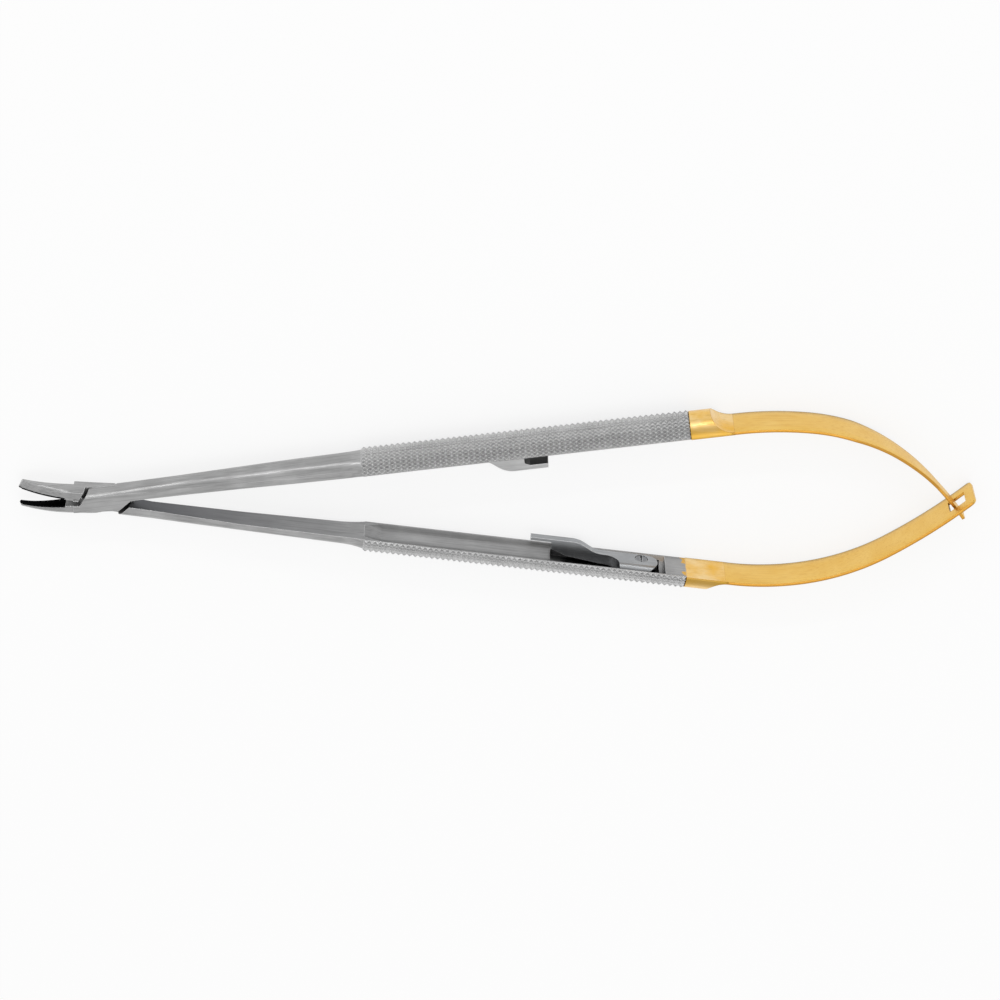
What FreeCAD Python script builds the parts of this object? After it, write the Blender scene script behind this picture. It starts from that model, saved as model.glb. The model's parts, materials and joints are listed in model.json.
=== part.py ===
"""Curved micro needle holder with a scissor joint, round knurled handles, a catch and leaf springs.

Frame while modelling: the pivot axis is Z through the origin, +X runs from the jaws to the springs,
+Y is the way the upper handle opens, and the instrument lies on its side. Before export the whole
instrument is moved so that it rests on Z = 0 with the origin below the middle of its box.

Each arm is drawn in its own closed position: the handle's flat inner face lies along X, the handle is
above it (+Y) and the jaw below it, left of the pivot. It is then mirrored if needed and turned open.
Units are millimetres and degrees.
"""
import FreeCAD
import Part
import math
import os
from FreeCAD import Vector

# Opening of the instrument as it lies at rest
HANDLE_HALF_ANGLE = 7.47      # each handle's flat face from the centre line
JAW_HALF_ANGLE = 5.75         # each jaw's gripping face from the centre line
HANDLE_OFFSET = 0.4           # from the pivot to the plane of a handle's flat face

# Lapped scissor joint, drawn at rest for the upper arm
ARM_THICKNESS = 4.0           # across the arm at the joint, along the pivot axis
LAP_CLEARANCE = 0.02          # between the two laps, each side of the middle plane
FRONT_SHOULDER = ((-4.3, -0.43), (-2.6, 2.45))   # edge of the lap beside the other jaw
BACK_SHOULDER = ((3.2, -1.2), (5.27, 0.69))      # edge of the lap beside the other shank
FRONT_SHOULDER_GAP = 0.85     # room for the other arm to turn, along X
BACK_SHOULDER_GAP = 1.15
LAP_REACH = 5.6               # the lap's length, each way from the pivot
LAP_FOOT_TOP = 0.8            # inside the shank
UPPER_LAP_FOOT = (-1.95, -1.25)   # lower edge of the lap at its front and at its back end
LOWER_LAP_FOOT = (-2.7, -2.1)
PIVOT_RADIUS = 0.8
PIVOT_HEAD_RADIUS = 1.2
PIVOT_HEAD_HEIGHT = 0.7
PIVOT_CLEARANCE = 0.03
PIVOT_COVER = 0.6             # metal left over the blind end of the screw
PIVOT_SLOT_WIDTH = 0.4
PIVOT_SLOT_DEPTH = 0.35

# Jaw sections: distance from the pivot, width, how far the jaw is carried sideways there
JAW_LENGTH = 16.2             # pivot to tip
JAW_PLAN = ((0.0, 3.7, 0.0), (4.5, 3.6, 0.0), (7.8, 2.9, 0.05), (10.7, 2.2, 0.27), (13.5, 1.55, 0.9),
            (JAW_LENGTH, 1.2, 2.0))
UPPER_JAW_BACK = ((1.9, 2.3), (1.75, 2.25), (1.45, 2.25), (1.15, 2.15), (0.95, 1.95), (0.9, 1.6))   # side, apex
LOWER_JAW_BACK = ((1.6, 2.2), (1.5, 2.1), (1.15, 1.9), (0.9, 1.5), (0.65, 1.1), (0.45, 0.75))
JAW_TIP_ROUND = 0.62          # radius of the rounded tip, seen on the gripping face
JAW_TIP_SLOPE = 0.35          # how far the tip's cut leans back for each millimetre of depth
INSERT_START = 7.2            # hard-metal plate, from the pivot
INSERT_THICKNESS = 0.3

# Shank sections: place, inner face above the closing plane, width, straight side, apex of the back
UPPER_SHANK = ((-LAP_REACH, 0.0, ARM_THICKNESS, 1.62, 2.63), (5.0, 0.0, ARM_THICKNESS, 1.61, 2.74),
               (15.0, 0.0, ARM_THICKNESS, 1.25, 2.98), (26.0, 0.15, 4.85, 1.28, 3.12), (37.0, 0.1, 5.4, 1.0, 3.47),
               (45.0, 0.1, 5.75, 1.07, 3.58))
LOWER_SHANK = ((-LAP_REACH, 0.0, ARM_THICKNESS, 1.62, 2.4), (5.0, 0.1, ARM_THICKNESS, 1.5, 2.4),
               (9.0, 0.32, 3.5, 1.27, 2.3), (15.0, 0.45, 3.95, 1.25, 2.3), (26.0, 0.7, 4.85, 1.15, 2.08),
               (37.0, 0.65, 5.4, 1.25, 2.28), (45.0, 0.6, 5.75, 1.35, 2.45))
FLARE_SHARE = 0.5             # place of the flare's middle section on its length
FLARE_RISE_SHARE = 0.35       # how much of the change is done there
FLARE_END_SHARE = 0.965       # the shank's end is a little smaller than the handle
ROUND_SIDE = 0.35             # straight side of a section that is nearly half round

# Knurled half-round handles
HANDLE_START = 49.4
HANDLE_LENGTH = 61.6
HANDLE_RADIUS = 3.9
KNURL_DEPTH = 0.38
KNURL_PITCH = 1.06            # along the handle
KNURL_ROWS = 16               # around the half circle
CHANNEL_RADIUS = 5.0          # hollow in the flat inner face
CHANNEL_DEPTH = 1.2
CHANNEL_START = 53.2          # where it has its full depth
CHANNEL_RUN_OUT = 12.0        # angle at which it rises to the flat at its front
CHANNEL_END_MARGIN = 4.0      # full flat left at the handle's end
POCKET_START = 85.05          # deeper recess that holds the latch
POCKET_END = 106.0
POCKET_WIDTH = 5.1
POCKET_DEPTH = 2.1

# Latch on the lower handle
LATCH_WIDTH = 4.5
LATCH_SCREW_AT = 102.4        # along the handle
LATCH_SCREW_OFFSET = -0.8     # from the middle towards the far side
LATCH_FOOT_START = 94.9
LATCH_FOOT_OVERRUN = 3.1      # foot beyond the screw
LATCH_FOOT_RISE = 0.35        # the foot above the handle's flat face
LATCH_FOOT_ROUND = 1.7        # rounded near edge
LATCH_NOSE_RISE = 2.3         # top of the nose above the handle's flat face
LATCH_NOSE_START = 80.9
LATCH_NOSE_END = 88.8         # where the bar starts to come down to the foot
LATCH_NOSE_THICKNESS = 0.6
LATCH_SLOT_END = 85.0         # mouth of the hook, open towards the jaws
LATCH_BAR_WIDTH = 1.5         # the bar is narrow and lies along the far side
LATCH_BAR_DEPTH = 1.6
LATCH_BAR_FLOOR = 0.7         # floor of the hook's mouth above the handle's flat face
LATCH_THROAT_DROP = 0.4       # bevel under the mouth
LATCH_THROAT_LENGTH = 3.0
LATCH_SCOOP_AT = 95.3         # centre of the rounded step between the foot and the narrow bar
LATCH_SCREW_SUNK = 0.05       # screw face below the foot's face
LATCH_RELIEF_ANGLE = 2.4      # room under the latch for its spring travel
LATCH_SEAT_CLEARANCE = 0.03
LATCH_END_CLEARANCE = 0.4

# Catch on the upper handle
CATCH_WIDTH = 4.6
CATCH_START = 70.5
CATCH_TIP = 83.95
CATCH_DROP = 3.1              # below the handle's flat face
CATCH_LIP_THICKNESS = 0.9
CATCH_SLOT_START = 79.6
CATCH_SCREW_AT = 67.0
CATCH_FOOT_START = 64.5
CATCH_FOOT_THICKNESS = 0.8
CATCH_SEAT_DEPTH = 0.9        # bed of the foot below the handle's flat face
CATCH_BED_LENGTH = 6.0        # beyond the catch's start
CATCH_BED_CLEARANCE = 0.05
CATCH_UNDERSIDE_LENGTH = 7.2  # of its smooth descent
CATCH_TOP_START = 5.0         # where its upper side leaves the bed
CATCH_SLOT_ROOF = 0.6
CATCH_THROAT_LENGTH = 1.0     # bevel in the hook's corner
CATCH_THROAT_RISE = 0.5

# Slotted screws of the latch and the catch
SCREW_HEAD_RADIUS = 1.15
SCREW_HEAD_HEIGHT = 0.5
SCREW_RADIUS = 0.6
SCREW_LENGTH = 2.4
SCREW_SLOT_WIDTH = 0.35
SCREW_SLOT_DEPTH = 0.3
SCREW_CLEARANCE = 0.12

# Gilt spring sockets and leaf springs
SOCKET_LENGTH = 8.1
SOCKET_RADIUS = 3.7
SCOOP_RADIUS = 4.3            # of the cutter that hollows the back down to the leaf
LEAF_THICKNESS = 0.6
LEAF_WIDTH = 7.4
LEAF_ROOT_CLEARANCE = 0.05
UPPER_LEAF_ARCS = ((14.1, -13.0), (17.1, -28.5), (10.5, -14.0), (9.4, -7.0))   # length, turn
LOWER_LEAF_ARCS = ((14.1, 17.0), (16.9, 22.4), (19.6, 11.0))
TONGUE_WIDTH = 2.2            # end of the upper leaf, passes through the lower leaf's window
LEAF_TAPER = ((21.6, LEAF_WIDTH), (15.9, 5.9), (10.3, 4.3), (5.2, TONGUE_WIDTH))   # before the end, width there
WINDOW_LENGTH = 3.7
WINDOW_HEIGHT = 3.3
WINDOW_FROM_END = 1.9         # solid end of the lower leaf beyond the window
LEAF_CORNER_RADIUS = 1.0

FAR = 40.0                    # reach of a cutting block
OVERCUT = 1.0                 # how far a cutting tool starts outside the surface
OVERLAP = 0.01                # shared by two pieces that are joined
LENGTH_TOLERANCE = 0.02

UP = Vector(0, 0, 1)


def handle_end():
    """Where the knurled handle ends along the arm."""
    return HANDLE_START + HANDLE_LENGTH


def block(x0, x1, y0, y1, z0, z1):
    """A box between two opposite corners."""
    return Part.makeBox(x1 - x0, y1 - y0, z1 - z0, Vector(x0, y0, z0))


def back_section(x, base, width, side, apex, down=False, centre=0.0):
    """Closed wire across the arm: flat face at base, straight sides and a rounded back."""
    way = -1.0 if down else 1.0
    half = width / 2.0
    near = Vector(x, base, centre + half)
    far = Vector(x, base, centre - half)
    near_side = Vector(x, base + way * side, centre + half)
    far_side = Vector(x, base + way * side, centre - half)
    top = Vector(x, base + way * apex, centre)
    edges = [Part.LineSegment(far, near).toShape(),
             Part.LineSegment(near, near_side).toShape(),
             Part.Arc(near_side, top, far_side).toShape(),
             Part.LineSegment(far_side, far).toShape()]
    return Part.Wire(edges)


def loft(wires, ruled=False):
    """Solid through closed wires."""
    return Part.makeLoft(wires, True, ruled)


def make_shank(stations):
    """Tapered shank with a flat inner face and a rounded back, flared to the handle's round."""
    root = (HANDLE_RADIUS - KNURL_DEPTH) * FLARE_END_SHARE
    bar = loft([back_section(*station) for station in stations], True)
    begin = stations[-1]
    end = (HANDLE_START, HANDLE_OFFSET, 2.0 * root, ROUND_SIDE, root)
    shares = (FLARE_SHARE,) + 4 * (FLARE_RISE_SHARE,)
    middle = [first + (last - first) * share for first, last, share in zip(begin, end, shares)]
    swell = loft([back_section(*begin), back_section(*middle), back_section(*end)])
    return bar.fuse(swell)


def knurled_half_rod():
    """Half-round handle whose back is a grid of pointed teeth. All faces are flat."""
    columns = int(round(HANDLE_LENGTH / KNURL_PITCH))
    step = HANDLE_LENGTH / columns
    root = HANDLE_RADIUS - KNURL_DEPTH

    def on_round(x, turn, radius):
        angle = math.pi * turn / KNURL_ROWS
        return Vector(x, HANDLE_OFFSET + radius * math.sin(angle), radius * math.cos(angle))

    def face(points):
        return Part.Face(Part.makePolygon(points + [points[0]]))

    faces = []
    for column in range(columns):
        x0 = HANDLE_START + column * step
        x1 = x0 + step
        for row in range(KNURL_ROWS):
            tip = on_round((x0 + x1) / 2.0, row + 0.5, HANDLE_RADIUS)
            corners = [on_round(x0, row, root), on_round(x1, row, root),
                       on_round(x1, row + 1, root), on_round(x0, row + 1, root)]
            for index in range(4):
                faces.append(face([corners[index], corners[(index + 1) % 4], tip]))
    for x in (HANDLE_START, handle_end()):
        faces.append(face([on_round(x, row, root) for row in range(KNURL_ROWS + 1)]))
    along = [HANDLE_START + column * step for column in range(columns + 1)]
    flat = [on_round(x, 0, root) for x in along] + [on_round(x, KNURL_ROWS, root) for x in reversed(along)]
    faces.append(face(flat))
    shell = Part.makeShell(faces)
    shell.sewShape()
    return Part.makeSolid(shell)


def channel_cut():
    """Long shallow hollow in the flat inner face, running out to the flat at its front end."""
    axis_y = HANDLE_OFFSET - (CHANNEL_RADIUS - CHANNEL_DEPTH)
    way = math.radians(CHANNEL_RUN_OUT)
    bend = Vector(CHANNEL_START, axis_y, 0)
    front = bend + Vector(-math.cos(way), -math.sin(way), 0) * FAR
    back = Vector(handle_end() - CHANNEL_END_MARGIN, axis_y, 0)
    round_end = Part.Wire([Part.Circle(back, Vector(1, 0, 0), CHANNEL_RADIUS).toShape()])
    square_corner = 1
    return Part.Wire(Part.makePolygon([back, bend, front])).makePipeShell([round_end], True, False, square_corner)


def pocket_cut():
    """Deeper recess with a square floor."""
    half = POCKET_WIDTH / 2.0
    return block(POCKET_START, POCKET_END, HANDLE_OFFSET - OVERCUT, latch_floor(), -half, half)


def grip_height(distance):
    """Y of the jaw's gripping face, in the arm's closed position, at a distance left of the pivot."""
    return distance * math.tan(math.radians(HANDLE_HALF_ANGLE - JAW_HALF_ANGLE))


def make_jaw(back):
    """Curved, tapered jaw below its gripping face, solid over its whole depth, with a rounded tip."""
    wires = []
    for (distance, width, sideways), (side, apex) in zip(JAW_PLAN, back):
        wires.append(back_section(-distance, grip_height(distance), width, side, apex, True, -sideways))
    jaw = loft(wires)
    high, low = grip_height(JAW_LENGTH) + OVERCUT, grip_height(JAW_LENGTH) - FAR
    tip_cut = polygon_prism([(-JAW_LENGTH - FAR, high), (-JAW_LENGTH - OVERCUT * JAW_TIP_SLOPE, high),
                             (-JAW_LENGTH + FAR * JAW_TIP_SLOPE, low), (-JAW_LENGTH - FAR, low)], -FAR, FAR)
    centre = -JAW_LENGTH + JAW_TIP_ROUND
    nose = Part.makeCylinder(JAW_TIP_ROUND, 2 * FAR, Vector(centre, -FAR, -JAW_PLAN[-1][2]), Vector(0, 1, 0))
    keep = block(centre, FAR, -FAR, FAR, -FAR, FAR).fuse(nose)
    return jaw.cut(tip_cut).common(keep)


def insert_slab():
    """Slab below the gripping plane that separates the hard-metal plate from the jaw."""
    tilt = HANDLE_HALF_ANGLE - JAW_HALF_ANGLE
    slab = block(-JAW_LENGTH - OVERCUT, -INSERT_START, -INSERT_THICKNESS, OVERCUT, -FAR, FAR)
    slab.rotate(Vector(0, 0, 0), UP, -tilt)
    return slab


def upright_half(top_half):
    """Everything on one side of the joint's middle plane, less the clearance."""
    if top_half:
        return block(-FAR, FAR, -FAR, FAR, LAP_CLEARANCE, FAR)
    return block(-FAR, FAR, -FAR, FAR, -FAR, -LAP_CLEARANCE)


def beyond(line, shift, right):
    """Prism of everything left or right of a slanted line, which is moved along X by shift."""
    (x0, y0), (x1, y1) = line
    slope = (x1 - x0) / (y1 - y0)
    low, high = x0 + slope * (-FAR - y0) + shift, x0 + slope * (FAR - y0) + shift
    side = 4 * FAR if right else -4 * FAR
    return polygon_prism([(low, -FAR), (side, -FAR), (side, FAR), (high, FAR)], -FAR, FAR)


def closed(shape):
    """Turns a shape drawn for the upper arm at rest to the arm's closed position."""
    turned = shape.copy()
    turned.rotate(Vector(0, 0, 0), UP, -HANDLE_HALF_ANGLE)
    return turned


def shoulder_cut():
    """Everything in front of the lap and above the jaw's gripping face."""
    grip = math.tan(math.radians(JAW_HALF_ANGLE))
    above_grip = polygon_prism([(0, 0), (-FAR, -FAR * grip), (-FAR, FAR), (0, FAR)], -FAR, FAR)
    return closed(beyond(FRONT_SHOULDER, 0.0, False).common(above_grip))


def make_lap_foot(top_half, foot):
    """The part of the lap below the shank, between its two slanted shoulders."""
    half = ARM_THICKNESS / 2.0
    body = polygon_prism([(-LAP_REACH, foot[0]), (LAP_REACH, foot[1]), (LAP_REACH, LAP_FOOT_TOP),
                          (-LAP_REACH, LAP_FOOT_TOP)], -half, half)
    flat = math.tan(math.radians(HANDLE_HALF_ANGLE))
    below_shank = polygon_prism([(0, 0), (FAR, FAR * flat), (FAR, -FAR), (0, -FAR)], -FAR, FAR)
    body = body.cut(beyond(BACK_SHOULDER, 0.0, True).common(below_shank))
    return closed(body).cut(shoulder_cut()).common(upright_half(top_half))


def other_lap_room(top_half):
    """Space that the other arm's lap turns in."""
    front = [(x, -y) for x, y in FRONT_SHOULDER]
    back = [(x, -y) for x, y in BACK_SHOULDER]
    room = block(-FAR, FAR, -FAR, FAR, -FAR, FAR)
    room = room.cut(beyond(front, -FRONT_SHOULDER_GAP, False)).cut(beyond(back, BACK_SHOULDER_GAP, True))
    if top_half:
        keep = block(-2 * FAR, 2 * FAR, -2 * FAR, 2 * FAR, -FAR, LAP_CLEARANCE)
    else:
        keep = block(-2 * FAR, 2 * FAR, -2 * FAR, 2 * FAR, -LAP_CLEARANCE, FAR)
    return closed(room).common(keep)


def make_arm(top_half, stations, jaw_back, foot):
    """One forged arm in its closed position, and the hard-metal plate of its jaw."""
    jaw = make_jaw(jaw_back)
    slab = insert_slab()
    plate = jaw.common(slab)
    rod = knurled_half_rod().cut(channel_cut()).cut(pocket_cut())
    room = other_lap_room(top_half)
    body = make_shank(stations).cut(shoulder_cut()).fuse(jaw.cut(slab)).cut(room)
    body = body.fuse(make_lap_foot(top_half, foot)).fuse(rod)
    if top_half:
        body = body.cut(Part.makeCylinder(PIVOT_RADIUS, pivot_end() + FAR, Vector(0, 0, -FAR)))
    else:
        body = body.cut(Part.makeCylinder(PIVOT_RADIUS + PIVOT_CLEARANCE, 2 * FAR, Vector(0, 0, -FAR)))
        seat = Part.makeCylinder(PIVOT_HEAD_RADIUS + PIVOT_CLEARANCE, OVERCUT + PIVOT_HEAD_HEIGHT + PIVOT_CLEARANCE,
                                 Vector(0, 0, -ARM_THICKNESS / 2.0 - OVERCUT))
        body = body.cut(seat)
    return body.removeSplitter(), plate


def pivot_end():
    """Height of the pivot screw's blind end, in the upper arm's lap."""
    return ARM_THICKNESS / 2.0 - PIVOT_COVER


def make_pivot_screw():
    """Slotted screw, head sunk in the lower lap and shank driven into the upper one."""
    low = -ARM_THICKNESS / 2.0
    head = Part.makeCylinder(PIVOT_HEAD_RADIUS, PIVOT_HEAD_HEIGHT, Vector(0, 0, low))
    shank = Part.makeCylinder(PIVOT_RADIUS, pivot_end() - low, Vector(0, 0, low))
    slot = block(-FAR, FAR, -PIVOT_SLOT_WIDTH / 2, PIVOT_SLOT_WIDTH / 2, low - OVERCUT, low + PIVOT_SLOT_DEPTH)
    return head.fuse(shank).cut(slot).removeSplitter()


def slotted_screw(at, top, across=0.0):
    """Screw driven into the handle from its flat side, head face at height top below the handle."""
    inward = Vector(0, 1, 0)
    head = Part.makeCylinder(SCREW_HEAD_RADIUS, SCREW_HEAD_HEIGHT, Vector(at, top, across), inward)
    shank = Part.makeCylinder(SCREW_RADIUS, SCREW_LENGTH, Vector(at, top, across), inward)
    half = SCREW_SLOT_WIDTH / 2.0
    slot = block(at - half, at + half, top - OVERCUT, top + SCREW_SLOT_DEPTH, -FAR, FAR)
    return head.fuse(shank).cut(slot).removeSplitter()


def screw_hole(at, top, clearance, across=0.0):
    """Room for a screw and its head."""
    inward = Vector(0, 1, 0)
    head = Part.makeCylinder(SCREW_HEAD_RADIUS + clearance, OVERCUT + SCREW_HEAD_HEIGHT + clearance,
                             Vector(at, top - OVERCUT, across), inward)
    shank = Part.makeCylinder(SCREW_RADIUS + clearance, SCREW_LENGTH + OVERCUT, Vector(at, top, across), inward)
    return head.fuse(shank)


def latch_floor():
    """Y of the pocket's floor."""
    return HANDLE_OFFSET + POCKET_DEPTH


def latch_screw_top():
    """Y of the latch screw's head face."""
    return HANDLE_OFFSET - LATCH_FOOT_RISE + LATCH_SCREW_SUNK


def latch_pivot():
    """Point that the sprung latch rocks about: under the screw, on the pocket's floor."""
    return Vector(LATCH_SCREW_AT, latch_floor() - LATCH_SEAT_CLEARANCE, 0)


def polygon_prism(points, z0, z1):
    """Prism of an XY outline between two heights."""
    corners = [Vector(x, y, z0) for x, y in points]
    return Part.Face(Part.makePolygon(corners + [corners[0]])).extrude(Vector(0, 0, z1 - z0))


def swept_prism(points, start, end, half):
    """Prism of an XY outline whose side from the last point start to the first point end is a smooth S."""
    corners = [Vector(x, y, -half) for x, y in [end] + points + [start]]
    along = Vector(1, 0, 0)
    if end[0] < start[0]:
        along = -along
    curve = Part.BSplineCurve()
    curve.interpolate(Points=[corners[-1], corners[0]], InitialTangent=along, FinalTangent=along)
    outline = Part.Wire(Part.makePolygon(corners).Edges + [curve.toShape()])
    return Part.Face(outline).extrude(Vector(0, 0, 2 * half))


def make_latch():
    """Latch: foot in the pocket, rounded along its near edge, and a narrow rising bar with a hook at its end."""
    seat = latch_pivot().y
    foot_top = HANDLE_OFFSET - LATCH_FOOT_RISE
    nose_top = HANDLE_OFFSET - LATCH_NOSE_RISE
    lip = nose_top + LATCH_NOSE_THICKNESS
    heel = LATCH_SCREW_AT + LATCH_FOOT_OVERRUN
    relief = math.tan(math.radians(LATCH_RELIEF_ANGLE))
    slot_floor = HANDLE_OFFSET - LATCH_BAR_FLOOR
    outline = [(heel, foot_top), (heel, seat), (LATCH_SCREW_AT, seat),
               (LATCH_FOOT_START, seat - relief * (LATCH_SCREW_AT - LATCH_FOOT_START)),
               (LATCH_SLOT_END + LATCH_THROAT_LENGTH, slot_floor + LATCH_BAR_DEPTH),
               (LATCH_SLOT_END, slot_floor + LATCH_THROAT_DROP),
               (LATCH_SLOT_END, lip), (LATCH_NOSE_START, lip), (LATCH_NOSE_START, nose_top)]
    half = LATCH_WIDTH / 2.0
    body = swept_prism(outline, (LATCH_NOSE_END, nose_top), (LATCH_FOOT_START, foot_top), half)
    edge_y, edge_z = foot_top + LATCH_FOOT_ROUND, half - LATCH_FOOT_ROUND
    corner = block(LATCH_FOOT_START, heel, foot_top, edge_y, edge_z, half)
    rounding = Part.makeCylinder(LATCH_FOOT_ROUND, heel - LATCH_FOOT_START, Vector(LATCH_FOOT_START, edge_y, edge_z),
                                 Vector(1, 0, 0))
    open_side = block(LATCH_NOSE_START - OVERCUT, LATCH_SCOOP_AT, -FAR, FAR, -half + LATCH_BAR_WIDTH, FAR)
    scoop = Part.makeCylinder(LATCH_WIDTH - LATCH_BAR_WIDTH, 2 * FAR, Vector(LATCH_SCOOP_AT, -FAR, half), Vector(0, 1, 0))
    latch = body.cut(corner.cut(rounding)).cut(open_side).cut(scoop)
    end_round = Part.makeCylinder(half, 2 * FAR, Vector(heel - half, -FAR, 0), Vector(0, 1, 0))
    keep = block(LATCH_NOSE_START - OVERCUT, heel - half, -FAR, FAR, -FAR, FAR).fuse(end_round)
    hole = screw_hole(LATCH_SCREW_AT, latch_screw_top(), SCREW_CLEARANCE, LATCH_SCREW_OFFSET)
    return latch.common(keep).cut(hole).removeSplitter()


def make_catch():
    """Catch: foot in the handle's channel and a bar that comes down to a hook open towards the springs."""
    flat = HANDLE_OFFSET
    seat = catch_seat()
    low = flat - CATCH_DROP
    lip = low + CATCH_LIP_THICKNESS
    outline = [(CATCH_TIP, low), (CATCH_TIP, lip), (CATCH_SLOT_START + CATCH_THROAT_LENGTH, lip),
               (CATCH_SLOT_START, lip + CATCH_THROAT_RISE), (CATCH_SLOT_START, flat - CATCH_SLOT_ROOF),
               (CATCH_START + CATCH_TOP_START, seat), (CATCH_FOOT_START, seat),
               (CATCH_FOOT_START, seat - CATCH_FOOT_THICKNESS)]
    catch = swept_prism(outline, (CATCH_START, seat - CATCH_FOOT_THICKNESS), (CATCH_START + CATCH_UNDERSIDE_LENGTH, low),
                        CATCH_WIDTH / 2.0)
    return catch.cut(screw_hole(CATCH_SCREW_AT, catch_screw_top(), 0.0)).removeSplitter()


def catch_seat():
    """Y of the ledge in the channel that the catch sits on."""
    return HANDLE_OFFSET + CATCH_SEAT_DEPTH


def catch_screw_top():
    """Y of the catch screw's head face."""
    return catch_seat() - CATCH_FOOT_THICKNESS


def catch_bed():
    """Flat bed cut into the upper handle for the catch's foot."""
    half = CATCH_WIDTH / 2.0 + CATCH_BED_CLEARANCE
    return block(CATCH_FOOT_START - CATCH_BED_CLEARANCE, CATCH_START + CATCH_BED_LENGTH,
                 HANDLE_OFFSET - OVERCUT, catch_seat(), -half, half)


def make_socket():
    """Gilt half-round stub, scooped out across its back until only the leaf's thickness is left."""
    start, end = handle_end(), handle_end() + SOCKET_LENGTH
    stub = loft([back_section(x, HANDLE_OFFSET, LEAF_WIDTH, ROUND_SIDE, SOCKET_RADIUS) for x in (start, end)], True)
    floor = HANDLE_OFFSET + LEAF_THICKNESS
    scoop = Part.makeCylinder(SCOOP_RADIUS, 2 * FAR, Vector(end, floor + SCOOP_RADIUS, -FAR))
    return stub.cut(scoop).removeSplitter()


def to_rest(shape, upper):
    """Turns a piece from an arm's closed position to its open rest position."""
    if upper:
        turned = shape.copy()
        turned.rotate(Vector(0, 0, 0), UP, HANDLE_HALF_ANGLE)
        return turned
    turned = shape.mirror(Vector(0, 0, 0), Vector(0, 1, 0))
    turned.rotate(Vector(0, 0, 0), UP, -HANDLE_HALF_ANGLE)
    return turned


def leaf_root():
    """Centre of a leaf's rounded root, in an arm's closed position."""
    end = handle_end() + SOCKET_LENGTH
    return Vector(end + LEAF_THICKNESS / 2 + LEAF_ROOT_CLEARANCE, HANDLE_OFFSET + LEAF_THICKNESS / 2, 0)


def root_at_rest(upper):
    """Centre of a leaf's rounded root, at rest."""
    return to_rest(Part.Vertex(leaf_root()), upper).Point


def leaf_spine(upper):
    """Centre line of a leaf at rest: tangent arcs as (centre, radius, start point, start direction, turn)."""
    point = root_at_rest(upper)
    heading = HANDLE_HALF_ANGLE if upper else -HANDLE_HALF_ANGLE
    spine = []
    for length, turn in (UPPER_LEAF_ARCS if upper else LOWER_LEAF_ARCS):
        radius = length / math.radians(abs(turn))
        way = 1.0 if turn > 0 else -1.0
        side = math.radians(heading + way * 90.0)
        centre = point + Vector(radius * math.cos(side), radius * math.sin(side), 0)
        spine.append((centre, radius, point, heading, turn))
        arm = point - centre
        swing = math.radians(turn)
        point = centre + Vector(arm.x * math.cos(swing) - arm.y * math.sin(swing),
                                arm.x * math.sin(swing) + arm.y * math.cos(swing), 0)
        heading += turn
    return spine, point, heading


def leaf_strip(upper):
    """Bent strip of constant width, rounded at its root."""
    spine, end, heading = leaf_spine(upper)
    half = LEAF_THICKNESS / 2.0
    bottom = -LEAF_WIDTH / 2.0
    pieces = []
    for centre, radius, start, begins, turn in spine:
        angle = math.degrees(math.atan2(start.y - centre.y, start.x - centre.x))
        sweep = abs(turn)
        first = angle if turn > 0 else angle - sweep
        base = Vector(centre.x, centre.y, bottom)
        ring = Part.makeCylinder(radius + half, LEAF_WIDTH, base, UP, sweep)
        hole = Part.makeCylinder(radius - half, LEAF_WIDTH, base, UP, sweep)
        sector = ring.cut(hole)
        sector.rotate(base, UP, first)
        pieces.append(sector)
    root = root_at_rest(upper)
    pieces.append(Part.makeCylinder(half, LEAF_WIDTH, Vector(root.x, root.y, bottom)))
    return pieces[0].fuse(pieces[1:]).removeSplitter(), end, heading


def front_outline(points):
    """Tall prism seen from the side of the spring: an XZ outline drawn through all Y."""
    corners = [Vector(x, -FAR, z) for x, z in points]
    return Part.Face(Part.makePolygon(corners + [corners[0]])).extrude(Vector(0, 2 * FAR, 0))


def make_upper_leaf():
    """Leaf that narrows to a tongue."""
    strip, end, heading = leaf_strip(True)
    profile = [(0, LEAF_WIDTH / 2)] + [(end.x - before, width / 2) for before, width in LEAF_TAPER]
    profile.append((end.x + OVERCUT, TONGUE_WIDTH / 2))
    outline = profile + [(x, -z) for x, z in reversed(profile)]
    return strip.common(front_outline(outline)).removeSplitter()


def make_lower_leaf():
    """Leaf with a window near its end."""
    strip, end, heading = leaf_strip(False)
    window = block(-WINDOW_FROM_END - WINDOW_LENGTH, -WINDOW_FROM_END, -LEAF_WIDTH / 2, LEAF_WIDTH / 2,
                   -WINDOW_HEIGHT / 2, WINDOW_HEIGHT / 2)
    window.rotate(Vector(0, 0, 0), UP, heading)
    window.translate(end)
    strip = strip.cut(window)
    corners = [edge for edge in strip.Edges
               if abs(edge.Length - LEAF_THICKNESS) < LENGTH_TOLERANCE
               and (edge.CenterOfMass - end).Length < LEAF_WIDTH / 2 + LEAF_THICKNESS
               and abs(abs(edge.CenterOfMass.z) - LEAF_WIDTH / 2) < LENGTH_TOLERANCE]
    return strip.makeFillet(LEAF_CORNER_RADIUS, corners)


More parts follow.
